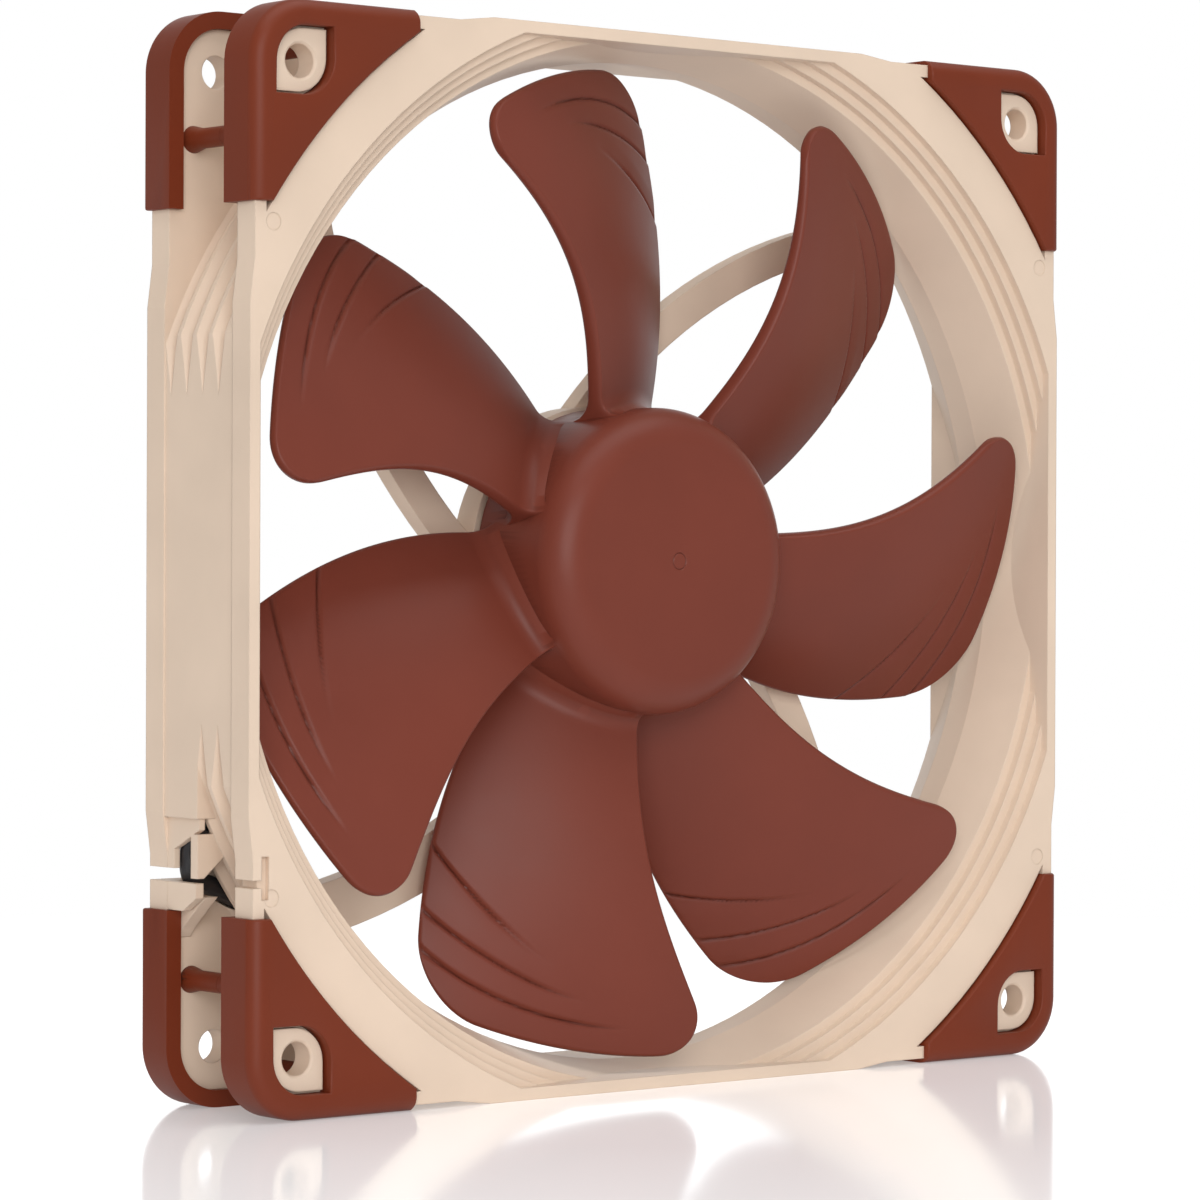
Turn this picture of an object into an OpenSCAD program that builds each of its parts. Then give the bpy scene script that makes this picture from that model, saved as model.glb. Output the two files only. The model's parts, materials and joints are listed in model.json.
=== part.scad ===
// Square axial case fan: seven blades, four struts, eight soft corner pads.
// The fan stands upright: its axis lies along Y, the intake faces -Y and +Z is up.
// Parts are drawn lying flat (axis = z, intake = +z) and stood up at the end.

/* [Envelope] */
// Side of the square, pads included
fan_size = 140; // [139.6:0.1:141]
// Depth along the axis, pads included
fan_depth = 25; // [25:0.1:26]
// Distance between neighbouring mounting holes
hole_spacing = 124.5; // [124:0.1:125]
// Diameter of a mounting hole
hole_d = 4.3; // [4:0.1:4.6]

/* [Frame] */
// Radius of the air bore
bore_r = 67.2; // [66.9:0.1:67.4]
// Distance from the fan's centre plane to the frame's front or rear face
face_z = 11.5; // [11.3:0.1:11.6]
// Distance from the centre plane to the inner side of a corner flange
flange_z = 7.6; // [7:0.1:8]
// Height of one inlet step
step_h = 1.2; // [0.8:0.1:1.3]
// Radius of the widest inlet step
inlet_r = 73.5; // [73:0.1:74]
// Radius of the ring's outside wall between the flanges
ring_r = 75.3; // [75:0.1:75.6]
// Radius of the curved edge that the pads meet
collar_r = 80.2; // [80:0.1:80.4]
// Width of a strut
strut_w = 4.6; // [3.5:0.1:5]
// Width of the strut that carries the leads
lead_strut_w = 6.8; // [6:0.1:7.5]

/* [Impeller] */
// Number of blades
blade_count = 7; // [5:1:9]
// Radius of the hub
hub_r = 20.6; // [20.4:0.1:20.8]
// Distance from the centre plane to the hub's nose
hub_top = 11; // [10.8:0.1:11.2]
// Radius of the hub's rounded front edge
hub_fillet = 5; // [4:0.1:5.5]
// Radius of the blade tips
tip_r = 66.4; // [64:0.1:66.4]
// Thickness of a blade at the hub
root_t = 2.4; // [1.8:0.1:3]
// Thickness of a blade at its tip
tip_t = 1.4; // [1:0.1:1.8]

/* [Motor] */
// Radius of the shaft
shaft_r = 1.5; // [1.4:0.05:1.6]
// Radial clearance between shaft and bush
shaft_gap = 0.03; // [0.02:0.01:0.08]
// Outside radius of the stator poles
pole_r = 15.4; // [14.8:0.1:15.6]
// Outside radius of the bearing housing
housing_r = 5.2; // [5:0.1:5.4]
// Radius of one lead's insulation
lead_r = 0.5; // [0.4:0.05:0.6]

/* [Hidden] */

$fn = 96;
eps = 0.01;
half = fan_size / 2;
pad_z = fan_depth / 2;

// Frame outline: full width at the middle of each side, narrower next to the pads
waist = half - 0.7;
full_t = 32;
waist_t = 37.5;
panel_inset = 0.25;
inlet_flat = half - 1.6;
outlet_flat = half - 2.8;
outlet_r = 72;
outlet_deep = 7.5;
step_count = 3;
throat_r = 69.6;
step_w = (inlet_r - throat_r) / step_count;

// Grooves around the ring's outside wall
groove_z = [-6.4, -2.85, 0.7, 4.25];
groove_r = 72.7;
groove_half = 1.4;

// Pads and the corners that they cover
hole_at = hole_spacing / 2;
boss_z = pad_z - 1.4;
seat_z = boss_z - 1;
lip_t = 2.2;
lip_z = flange_z - 2;
corner_r = 8;
arm_end = 44.5;
arc_gap = 0.3;
pad_arc_r = collar_r + arc_gap;
window_a = 58;
window_b = 66.7;
leaf_r = 4.8;
leaf_gap = 0.35;
rim_w = 1.7;
pocket_deep = 2;
mark_at = [66.5, 42];
mark_r = 1.1;
mark_deep = 0.12;
peg_at = [65.6, 53.5];
peg_r = 1.35;
peg_gap = 0.05;
bead_r = 1.75;
bead_h = 2.2;
tail_z = 0.03;
hole_rim = 0.3;

// Motor base, struts and lead channel
base_r = 21;
base_top = -7.3;
base_floor = -9.3;
base_wall = 1.4;
socket_r = 7;
socket_top = -8.9;
strut_front = -8.5;
strut_arc = [61.8, -35.8];
strut_arc_r = 83.4;
channel_w = 4.4;
channel_floor = -10;
label_r = 18.9;
label_t = 0.2;

// Cable exit at the lower left of the frame, heights measured down from the centre
exit_top = 32.6;
slot_top = 39.1;
slot_bottom = 40.8;
grip_x = 69.2;
plate_t = 0.85;
finger_z = -6.1;
hook_z = [-2.4, -0.9];
sleeve_r = 1.3;
sleeve_gap = 0.2;
// Sleeve's path: from the lead strut through the ring, then up behind the hook
sleeve_path = [[-52, -46.6, -9.6], [-63, -41.6, -6.6], [-66, -41, -6.1],
               [-66.9, -39.8, -6.1], [-66.9, -36.2, -6.1], [-66.9, -33.4, -3.2]];
lead_start = 140;
lead_end = 98;

// Hub, yoke and magnet share one fillet centre
hub_wall = 1.4;
hub_end = -6.8;
yoke_gap = 0.05;
yoke_t = 0.8;
yoke_end = -6;
magnet_t = 2.1;
magnet_top = 5;
magnet_end = -5.8;
hub_core_r = hub_r - hub_wall;
yoke_r = hub_core_r - yoke_gap;
magnet_r = yoke_r - yoke_t;
yoke_top = hub_top - hub_wall - yoke_gap;
boss_r = 4.5;
boss_end = 6.4;
shaft_top = yoke_top - yoke_t - 0.1;
shaft_end = -8.55;

// Bearing stack
bush_r = 4;
bush_top = 4.6;
bush_end = -6.6;
seal_h = 0.7;
clip_top = -7;
clip_h = 0.4;
clip_r = 2.8;
neck_r = 1.1;
housing_top = 5.5;
housing_end = -10.2;
housing_floor = -9.4;
thrust_h = 0.75;
ring_magnet_h = 0.9;

// Stator
core_half = 2.5;
core_r = 8;
arm_w = 4.4;
pole_in_r = 13.4;
pole_count = 4;
pole_span = 74;
insulator_t = 0.7;
coil_in = 8.9;
coil_out = 12.6;
coil_t = 2;
coil_gap = 0.05;

// Circuit board
board_r = 18.6;
board_z = -8.6;
board_t = 1;
board_hole_r = 7.3;
pin_at = 10.6;

// Blade edges, each as four control values from hub to tip: angle in degrees and height
lead_angle = [10.9, 2.6, 14.1, 18.8];
lead_height = [2.4, 7.1, 11, 10];
trail_angle = [-35.9, -30.9, -22.3, -16.1];
trail_height = [-6, -6.6, -6.3, -4.5];
camber = [1.1, 1.2, 1.3, 1.4];
blade_root_r = hub_r - 0.9;
tip_round = 8;
nose = 0.04;
span_steps = 9;
chord_steps = 11;

// ---------- shared shapes ----------

// A tube from z0 to z1, with a hole when r_in is above 0
module tube(r_out, r_in, z0, z1) {
    translate([0, 0, z0])
        difference() {
            cylinder(r = r_out, h = z1 - z0);
            if (r_in > 0)
                translate([0, 0, -1])
                    cylinder(r = r_in, h = z1 - z0 + 2);
        }
}

// A flat shape raised from z0 to z1
module slab(z0, z1) {
    translate([0, 0, z0])
        linear_extrude(z1 - z0)
            children();
}

// A square centred on the axis, from -a to a
module centred(a) {
    square(2 * a, center = true);
}

// One copy in each corner: the fan's outline repeats every quarter turn
module quarters() {
    for (i = [0:3])
        rotate(90 * i)
            children();
}

// Stands a part that was drawn flat upright, so that z becomes -Y
module stand() {
    rotate([90, 0, 0])
        children();
}

// ---------- frame ----------

// Outline of the frame's faces
module outline() {
    centred(waist);
    quarters()
        polygon([[-waist_t, waist - 1], [-waist_t, waist], [-full_t, half],
                 [full_t, half], [waist_t, waist], [waist_t, waist - 1]]);
}

// Square with only its outer and inner corners rounded, as the pad windows are
module leaf(a, b, r) {
    difference() {
        translate([a, a])
            square(b - a);
        difference() {
            translate([a - eps, a - eps])
                square(r + eps);
            translate([a + r, a + r])
                circle(r);
        }
        difference() {
            translate([b - r, b - r])
                square(r + eps);
            translate([b - r, b - r])
                circle(r);
        }
    }
}

// Corner of a square from `from` out to `to`, with its outer corner rounded
module rounded_corner(from, to, r) {
    difference() {
        translate([from, from])
            square(to - from);
        difference() {
            translate([to - r, to - r])
                square(r + eps);
            translate([to - r, to - r])
                circle(r);
        }
    }
}

// Flat face of one side of the frame, between the pads
module face_plate() {
    intersection() {
        circle(collar_r, $fn = 180);
        outline();
    }
    quarters()
        intersection() {
            outline();
            translate([waist - rim_w, -arm_end])
                square([rim_w + 2, 2 * arm_end]);
        }
}

// Everything on one side of the centre plane: face, flanges, bosses
module frame_side() {
    slab(flange_z, face_z)
        face_plate();
    slab(flange_z, face_z - pocket_deep)
        intersection() {
            outline();
            circle(collar_r + 4, $fn = 180);
            square([2 * half, 2 * arm_end], center = true);
        }
    slab(flange_z, face_z - pocket_deep)
        intersection() {
            outline();
            circle(collar_r + 4, $fn = 180);
            square([2 * arm_end, 2 * half], center = true);
        }
    quarters() {
        slab(flange_z, seat_z)
            difference() {
                rounded_corner(arm_end - 1, half - lip_t, corner_r - lip_t);
                circle(ring_r - 1);
            }
        slab(seat_z - eps, boss_z)
            leaf(window_a + leaf_gap, window_b - leaf_gap, leaf_r - leaf_gap);
    }
}

// Grooved ring between the two faces, cut flat at the sides
module ring() {
    intersection() {
        slab(-flange_z - 1, flange_z + 1)
            centred(half - panel_inset);
        union() {
            rotate_extrude($fn = 180)
                difference() {
                    translate([bore_r - 1, -flange_z - 1])
                        square([ring_r - bore_r + 1, 2 * flange_z + 2]);
                    for (z = groove_z)
                        polygon([[ring_r + eps, z - groove_half], [groove_r, z],
                                 [ring_r + eps, z + groove_half]]);
                }
            // side panel carried on down to the cable exit, over the rear grooves
            translate([-half - 1, -exit_top, -flange_z - 0.7])
                cube([6.5, 12, flange_z + 0.5]);
        }
    }
}

// Stepped inlet with a cone below it, flattened where it would break through the sides
module inlet_cut() {
    throat_z = face_z - step_count * step_h;
    intersection() {
        slab(-1, face_z + 1)
            centred(inlet_flat);
        union() {
            for (i = [0 : step_count - 1])
                tube(inlet_r - i * step_w, 0, face_z - (i + 1) * step_h, face_z + 1, $fn = 180);
            cylinder(r1 = bore_r - eps, r2 = throat_r, h = throat_z + eps, $fn = 180);
        }
    }
}

// Flared outlet, flattened in the same way
module outlet_cut() {
    intersection() {
        slab(-face_z - 1, 0)
            centred(outlet_flat);
        translate([0, 0, -face_z])
            cylinder(r1 = outlet_r, r2 = bore_r - eps, h = outlet_deep, $fn = 180);
    }
}

// One curved strut from the motor base to the ring
module strut(w) {
    slab(-face_z, strut_front)
        intersection() {
            translate(strut_arc)
                difference() {
                    circle(strut_arc_r + w / 2, $fn = 180);
                    circle(strut_arc_r - w / 2, $fn = 180);
                }
            translate([-3, base_r - 1])
                square([60, 40]);
            circle(outlet_r + 1);
        }
}

// Motor base: a shallow dish with a socket for the bearing housing
module motor_base() {
    tube(base_r, 0, -face_z, base_floor);
    tube(base_r, base_r - base_wall, base_floor - eps, base_top);
    tube(socket_r, housing_r, base_floor - eps, socket_top);
}

// Upright plate in the frame's left side, its outline given as [height, z]
module side_plate(outer, inner, points) {
    translate([-outer, 0, 0])
        rotate([90, 0, 90])
            linear_extrude(outer - inner)
                polygon(points);
}

// Finger, hook and shelf beside the cable exit
module cable_grip() {
    back = -flange_z - 0.9;
    // plate below the panel, narrowing to a finger along the rear flange
    side_plate(grip_x, grip_x - plate_t,
               [[-exit_top + 1, back], [-exit_top + 1, -0.5], [-34, -0.5], [-36, -4.7],
                [-36.6, finger_z], [-slot_top, finger_z], [-slot_top, back]]);
    // hook in front of the sleeve, standing out from the ring
    slab(hook_z[0], hook_z[1])
        polygon([[-grip_x, -34.6], [-grip_x, -40.2], [-68.2, -40.2], [-65, -37.4],
                 [-62, -37.4], [-62, -34.6]]);
    // shelf under the slot, tapering down behind the rear pad
    side_plate(waist - 0.05, waist - 1.25,
               [[-slot_bottom, back], [-slot_bottom, -1.2], [-42.7, -1.2],
                [-arm_end + 0.1, -4.1], [-arm_end + 0.1, back]]);
    side_plate(half - lip_t - 0.1, half - lip_t - 2,
               [[-42.6, back], [-42.6, -1.3], [-46.8, -6.4], [-48, -flange_z + 0.2], [-48, back]]);
}

// Openings beside the cable exit
module cable_exit_cut() {
    // opening in the rear flange behind the finger, and the slot that leads into it
    translate([-grip_x + plate_t, -slot_bottom, -face_z - 1])
        cube([3.8, slot_bottom - 36, face_z + 1 - flange_z + 0.4]);
    translate([-half - 1, -slot_bottom, -face_z - 1])
        cube([4, slot_bottom - slot_top, face_z + 1 - flange_z + 0.4]);
    // pocket in the ring for the sleeve's end, behind the plate
    translate([-grip_x + plate_t, -38.5, sleeve_path[3].z - sleeve_r - 0.1])
        cube([3.2, 6.8, 5.8]);
    // T-shaped groove at the front edge
    translate([-half - 1, -40.7, flange_z - 0.2])
        cube([2.8, 1, face_z]);
    translate([-half - 1, -40.7, face_z - 0.8])
        cube([3, 1, 2]);
    translate([-half + 2, -42.2, face_z - 0.8])
        cube([1.1, 5.4, 2]);
}

// Hole for the sleeve, from the strut through the ring's wall
module sleeve_hole() {
    way = sleeve_path[1] - sleeve_path[0];
    translate(sleeve_path[0])
        along(way)
            translate([0, 0, -3])
                cylinder(r = sleeve_r + sleeve_gap, h = norm(way) + 5);
}

// Turns a shape drawn along z so that it points along d
module along(d) {
    rotate([0, acos(d.z / norm(d)), atan2(d.y, d.x)])
        children();
}

module frame() {
    color([0.84, 0.75, 0.66])
        stand()
            difference() {
                union() {
                    difference() {
                        union() {
                            frame_side();
                            mirror([0, 0, 1])
                                frame_side();
                            ring();
                            cable_grip();
                        }
                        tube(bore_r, 0, -face_z - 1, face_z + 1, $fn = 180);
                        inlet_cut();
                        outlet_cut();
                        cable_exit_cut();
                    }
                    motor_base();
                    for (i = [0, 1, 3])
                        rotate(90 * i)
                            strut(strut_w);
                    rotate(180)
                        strut(lead_strut_w);
                }
                corner_holes();
                ejector_marks();
                tube(label_r + 0.3, 0, -face_z - 1, -face_z + label_t);
                tube(housing_r, 0, housing_end, 0);
                lead_channel();
                sleeve_hole();
            }
}

// Mounting holes with chamfered mouths, and the holes for the pads' pegs
module corner_holes() {
    quarters() {
        translate([hole_at, hole_at, 0]) {
            cylinder(d = hole_d, h = fan_depth, center = true);
            for (side = [0, 1])
                mirror([0, 0, side])
                    translate([0, 0, boss_z - hole_rim])
                        cylinder(r1 = hole_d / 2, r2 = hole_d / 2 + 2 * hole_rim, h = 2 * hole_rim);
        }
        for (p = [peg_at, [peg_at.y, peg_at.x]])
            translate([p.x, p.y, 0])
                cylinder(r = peg_r, h = fan_depth, center = true, $fn = 32);
    }
}

// Round marks that the mould's ejector pins leave in the front face
module ejector_marks() {
    for (x = [-1, 1])
        for (y = [-1, 1])
            translate([x * mark_at.x, y * mark_at.y, face_z - mark_deep])
                cylinder(r = mark_r, h = 1, $fn = 32);
}

// Groove along the back of the lead strut, and the slot where it starts under the board
module lead_channel() {
    rotate(180) {
        slab(-face_z - 1, channel_floor)
            intersection() {
                translate(strut_arc)
                    difference() {
                        circle(strut_arc_r + channel_w / 2, $fn = 180);
                        circle(strut_arc_r - channel_w / 2, $fn = 180);
                    }
                translate([-5, 15.8])
                    square([58, 45]);
            }
        slab(channel_floor - eps, base_floor + eps)
            translate(strut_arc)
                rotate(lead_start)
                    translate([strut_arc_r, 0])
                        square([channel_w, 3 * lead_r], center = true);
    }
}

// ---------- corner pads ----------

// One peg: shank through the flange, bead behind it, tail towards the centre plane
module pad_peg() {
    translate([0, 0, tail_z])
        cylinder(r = peg_r - peg_gap, h = seat_z - tail_z + 0.2, $fn = 32);
    translate([0, 0, flange_z - bead_h])
        cylinder(r1 = peg_r - peg_gap, r2 = bead_r, h = bead_h, $fn = 32);
}

module pad() {
    slab(seat_z, pad_z)
        difference() {
            rounded_corner(arm_end, half, corner_r);
            circle(pad_arc_r, $fn = 180);
            leaf(window_a, window_b, leaf_r);
        }
    slab(lip_z, seat_z + eps)
        difference() {
            rounded_corner(arm_end, half, corner_r);
            rounded_corner(arm_end - 1, half - lip_t, corner_r - lip_t);
            circle(pad_arc_r, $fn = 180);
        }
    for (p = [peg_at, [peg_at.y, peg_at.x]])
        translate([p.x, p.y, 0])
            pad_peg();
}

module placed_pad(turn, front) {
    color([0.48, 0.24, 0.18])
        stand()
            mirror([0, 0, front ? 0 : 1])
                rotate(turn)
                    pad();
}

module front_pad_top_right() { placed_pad(0, true); }
module front_pad_top_left() { placed_pad(90, true); }
module front_pad_bottom_left() { placed_pad(180, true); }
module front_pad_bottom_right() { placed_pad(270, true); }
module rear_pad_top_right() { placed_pad(0, false); }
module rear_pad_top_left() { placed_pad(90, false); }
module rear_pad_bottom_left() { placed_pad(180, false); }
module rear_pad_bottom_right() { placed_pad(270, false); }

// ---------- impeller ----------

// Cubic curve through the hub and tip values in c
function curve(c, u) =
    c[0] * pow(1 - u, 3) + 3 * c[1] * u * pow(1 - u, 2) + 3 * c[2] * pow(u, 2) * (1 - u) + c[3] * pow(u, 3);

// How far a rounded corner falls short at distance d from the blade's edge
function corner_drop(d) =
    d >= tip_round ? 0 : tip_round - sqrt(pow(tip_round, 2) - pow(tip_round - d, 2));

// Chord of the tip in mm, along the arc
tip_chord = tip_r * (lead_angle[3] - trail_angle[3]) * PI / 180;

// Radius at span fraction u and chord fraction s, with the tip's corners rounded
function blade_r(u, s) =
    let (drop = corner_drop(min(s, 1 - s) * tip_chord))
        blade_root_r + u * (tip_r - drop - blade_root_r);

// Point of the blade's middle surface, as [angle, height]
function mean_point(u, s) = [
    curve(lead_angle, u) + s * (curve(trail_angle, u) - curve(lead_angle, u)),
    curve(lead_height, u) + s * (curve(trail_height, u) - curve(lead_height, u))
        + curve(camber, u) * 4 * s * (1 - s)
];

// Half thickness: a round nose, fading to a thin trailing edge
function half_thickness(u, s) =
    (root_t + u * (tip_t - root_t)) / 2
        * min(1, sqrt(1 - pow(1 - min(1, s / nose), 2)) + 0.02) * (1 - 0.55 * pow(s, 3));

// Point of the blade's skin: side is 1 for the intake side and -1 for the outlet side
function skin(u, s, side) =
    let (
        r = blade_r(u, s),
        span = max(0, min(1, (r - blade_root_r) / (tip_r - blade_root_r))),
        m = mean_point(span, s),
        ahead = mean_point(span, s + 0.01),
        run = r * (ahead[0] - m[0]) * PI / 180,
        rise = ahead[1] - m[1],
        across = [-rise, run] / norm([run, rise]),
        t = -side * half_thickness(span, s),
        angle = m[0] + across[0] * t / r * 180 / PI
    )
    [r * cos(angle), r * sin(angle), m[1] + across[1] * t];

// Closer steps near both edges of the chord
function chord_at(j) = (1 - cos(180 * j / chord_steps)) / 2;

module blade() {
    loop = 2 * (chord_steps + 1);
    points = [
        for (i = [0 : span_steps])
            for (j = [0 : loop - 1])
                j <= chord_steps
                    ? skin(i / span_steps, chord_at(j), 1)
                    : skin(i / span_steps, chord_at(loop - 1 - j), -1)
    ];
    sides = [
        for (i = [0 : span_steps - 1])
            for (j = [0 : loop - 1])
                let (k = (j + 1) % loop)
                    each [[i * loop + j, (i + 1) * loop + k, i * loop + k],
                          [i * loop + j, (i + 1) * loop + j, (i + 1) * loop + k]]
    ];
    ends = [
        for (i = [0, span_steps])
            for (j = [0 : chord_steps - 1])
                let (
                    a = i * loop + j,
                    b = i * loop + loop - 1 - j,
                    face = [a, b, b - 1, a + 1]
                )
                    i > 0 ? face : [for (n = [3:-1:0]) face[n]]
    ];
    polyhedron(points, concat(sides, ends), convexity = 4);
}

// Solid of revolution with a rounded front edge
module domed(r, top, fillet, end) {
    rotate_extrude() {
        translate([0, end])
            square([r, top - fillet - end]);
        translate([0, end])
            square([r - fillet, top - end]);
        intersection() {
            translate([r - fillet, top - fillet])
                circle(fillet);
            translate([0, end])
                square([r + 1, top - end + 1]);
        }
    }
}

module impeller() {
    color([0.49, 0.26, 0.21])
        stand() {
            difference() {
                domed(hub_r, hub_top, hub_fillet, hub_end);
                domed(hub_core_r, hub_top - hub_wall, hub_fillet - hub_wall, hub_end - 1);
            }
            for (i = [0 : blade_count - 1])
                rotate(i * 360 / blade_count)
                    blade();
        }
}

// ---------- rotor ----------

module rotor_yoke() {
    color([0.62, 0.63, 0.65])
        stand()
            difference() {
                domed(yoke_r, yoke_top, hub_fillet - hub_wall - yoke_gap, yoke_end);
                domed(magnet_r, yoke_top - yoke_t, hub_fillet - hub_wall - yoke_gap - yoke_t, yoke_end - 1);
                tube(boss_r - 1.5, 0, yoke_top - 2, yoke_top + 1);
            }
}

module magnet_ring() {
    color([0.2, 0.2, 0.21])
        stand()
            tube(magnet_r - yoke_gap, magnet_r - magnet_t, magnet_end, magnet_top);
}

// Brass boss: riveted into the yoke and pressed on the shaft
module rotor_boss() {
    color([0.78, 0.62, 0.32])
        stand() {
            tube(boss_r, shaft_r, boss_end, yoke_top - yoke_t);
            tube(boss_r - 1.5, shaft_r, yoke_top - yoke_t - eps, yoke_top);
        }
}

module shaft() {
    color([0.75, 0.76, 0.78])
        stand()
            difference() {
                union() {
                    tube(shaft_r, 0, shaft_end + 0.4, shaft_top);
                    translate([0, 0, shaft_end])
                        cylinder(r1 = shaft_r - 0.4, r2 = shaft_r, h = 0.4 + eps);
                }
                tube(shaft_r + 1, neck_r, clip_top - clip_h, clip_top);
            }
}

// Split washer in the shaft's neck, which keeps the rotor from lifting out
module retaining_clip() {
    color([0.9, 0.9, 0.86])
        stand()
            difference() {
                tube(clip_r, neck_r, clip_top - clip_h, clip_top);
                translate([0, -neck_r * 0.7, clip_top - clip_h - 1])
                    cube([clip_r + 1, neck_r * 1.4, clip_h + 2]);
            }
}

// ---------- bearing ----------

module bearing_housing() {
    color([0.76, 0.6, 0.32])
        stand() {
            tube(housing_r, bush_r, housing_floor - eps, housing_top);
            tube(housing_r, 0, housing_end, housing_floor);
        }
}

module bearing_bush() {
    color([0.62, 0.45, 0.28])
        stand()
            tube(bush_r, shaft_r + shaft_gap, bush_end, bush_top);
}

module oil_seal() {
    color([0.15, 0.15, 0.16])
        stand()
            tube(bush_r, shaft_r + 0.1, bush_top, bush_top + seal_h);
}

// Small magnet that draws the shaft's end down on to the thrust plate
module stabilising_magnet() {
    color([0.3, 0.3, 0.32])
        stand()
            tube(bush_r, shaft_r + 0.6, housing_floor + thrust_h, housing_floor + thrust_h + ring_magnet_h);
}

module thrust_plate() {
    color([0.85, 0.85, 0.8])
        stand()
            tube(bush_r, 0, housing_floor, housing_floor + thrust_h);
}

// ---------- stator ----------

// Outline of the core: a ring, four arms and four curved pole faces
module core_outline(pole_out) {
    difference() {
        union() {
            circle(core_r);
            for (i = [0 : pole_count - 1])
                rotate(45 + i * 360 / pole_count) {
                    translate([0, -arm_w / 2])
                        square([pole_in_r + 0.5, arm_w]);
                    intersection() {
                        difference() {
                            circle(pole_out);
                            circle(pole_in_r);
                        }
                        wedge(pole_span, pole_out + 4);
                    }
                }
        }
        circle(housing_r);
    }
}

// Kite that holds a given angle about the x axis
module wedge(angle, reach) {
    polygon([[0, 0], [reach * cos(angle / 2), -reach * sin(angle / 2)],
             [reach, -reach * sin(angle / 2)], [reach, reach * sin(angle / 2)],
             [reach * cos(angle / 2), reach * sin(angle / 2)]]);
}

module stator_core() {
    color([0.5, 0.51, 0.54])
        stand()
            slab(-core_half, core_half)
                core_outline(pole_r);
}

// Plastic bobbin half: plate over the core, collar round its middle, lips on the poles
module insulator() {
    slab(core_half, core_half + insulator_t) {
        core_outline(pole_r - 0.3);
        children();
    }
    tube(core_r, core_r - 1, core_half, core_half + insulator_t + coil_t);
    for (i = [0 : pole_count - 1])
        rotate(45 + i * 360 / pole_count)
            slab(core_half, core_half + insulator_t + coil_t)
                intersection() {
                    difference() {
                        circle(pole_in_r + 0.8);
                        circle(pole_in_r);
                    }
                    wedge(pole_span * 0.8, pole_r + 4);
                }
}

module upper_insulator() {
    color([0.9, 0.89, 0.84])
        stand()
            insulator();
}

module lower_insulator() {
    color([0.9, 0.89, 0.84])
        stand()
            mirror([0, 0, 1])
                insulator()
                    // tabs that hold the terminal pins
                    for (i = [0 : pole_count - 1])
                        rotate(i * 360 / pole_count)
                            translate([core_r - 1, -0.9])
                                square([pin_at - core_r + 1.9, 1.8]);
}

// Rectangle with rounded corners, centred
module rounded_rect(w, h, r) {
    square([w, h - 2 * r], center = true);
    square([w - 2 * r, h], center = true);
    for (x = [-1, 1])
        for (y = [-1, 1])
            translate([x * (w / 2 - r), y * (h / 2 - r)])
                circle(r, $fn = 32);
}

// Four windings, one round each arm
module stator_coils() {
    hole_w = arm_w + 2 * coil_gap;
    hole_h = 2 * (core_half + insulator_t + coil_gap);
    color([0.72, 0.4, 0.2])
        stand()
            for (i = [0 : pole_count - 1])
                rotate(45 + i * 360 / pole_count)
                    translate([coil_in, 0, 0])
                        rotate([90, 0, 90])
                            linear_extrude(coil_out - coil_in)
                                difference() {
                                    rounded_rect(hole_w + 2 * coil_t, hole_h + 2 * coil_t, 1.2);
                                    square([hole_w, hole_h], center = true);
                                }
}

// ---------- circuit board ----------

module circuit_board() {
    color([0.12, 0.32, 0.2])
        stand()
            difference() {
                tube(board_r, board_hole_r, board_z, board_z + board_t);
                terminals(0.45, -10, 0);
            }
}

// Four pins that carry the winding ends down to the board
module terminals(r, z0, z1) {
    for (i = [0 : pole_count - 1])
        rotate(i * 360 / pole_count)
            translate([pin_at, 0, 0])
                tube(r, 0, z0, z1, $fn = 32);
}

module terminal_pins() {
    color([0.8, 0.78, 0.7])
        stand()
            terminals(0.4, board_z - 0.3, -core_half - insulator_t);
}

module driver_chip() {
    color([0.1, 0.1, 0.11])
        stand()
            translate([-14.6, 3.6, board_z + board_t])
                cube([4.9, 3.9, 0.9]);
}

// Sensor that stands under the magnet's edge
module hall_sensor() {
    color([0.12, 0.12, 0.13])
        stand()
            rotate(45)
                translate([15, -1.5, board_z + board_t])
                    cube([2.2, 3, 0.9]);
}

module capacitors() {
    color([0.66, 0.55, 0.4])
        stand()
            for (p = [[5.4, -14.4], [9.2, -12.4], [-4.4, 13.6]])
                translate([p.x, p.y, board_z + board_t])
                    cube([2, 1.2, 0.9]);
}

// ---------- leads ----------

// One lead: down from the board's edge, then along the strut's channel to the sleeve
module lead(i) {
    path_r = strut_arc_r + (i - 1.5) * 2.05 * lead_r;
    z = channel_floor - lead_r - 0.1;
    stand()
        rotate(180)
            translate([strut_arc.x, strut_arc.y, z])
                rotate(lead_start) {
                    rotate_extrude(angle = lead_end - lead_start, $fn = 180)
                        translate([path_r, 0])
                            circle(lead_r, $fn = 24);
                    translate([path_r, 0, 0]) {
                        sphere(lead_r, $fn = 24);
                        cylinder(r = lead_r, h = board_z - z, $fn = 24);
                    }
                }
}

module ground_lead() { color([0.08, 0.08, 0.09]) lead(0); }
module power_lead() { color([0.85, 0.7, 0.1]) lead(1); }
module speed_lead() { color([0.15, 0.5, 0.25]) lead(2); }
module control_lead() { color([0.15, 0.3, 0.65]) lead(3); }

// Black sleeve over the leads, its free end cut off behind the side panel
module cable_sleeve() {
    color([0.1, 0.1, 0.11])
        stand()
            for (i = [1 : len(sleeve_path) - 1])
                hull() {
                    translate(sleeve_path[i - 1])
                        sphere(sleeve_r, $fn = 16);
                    translate(sleeve_path[i])
                        sphere(sleeve_r, $fn = 16);
                }
}

module back_label() {
    color([0.35, 0.22, 0.18])
        stand()
            tube(label_r, 0, -face_z, -face_z + label_t);
}

// ---------- what is drawn ----------

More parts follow.
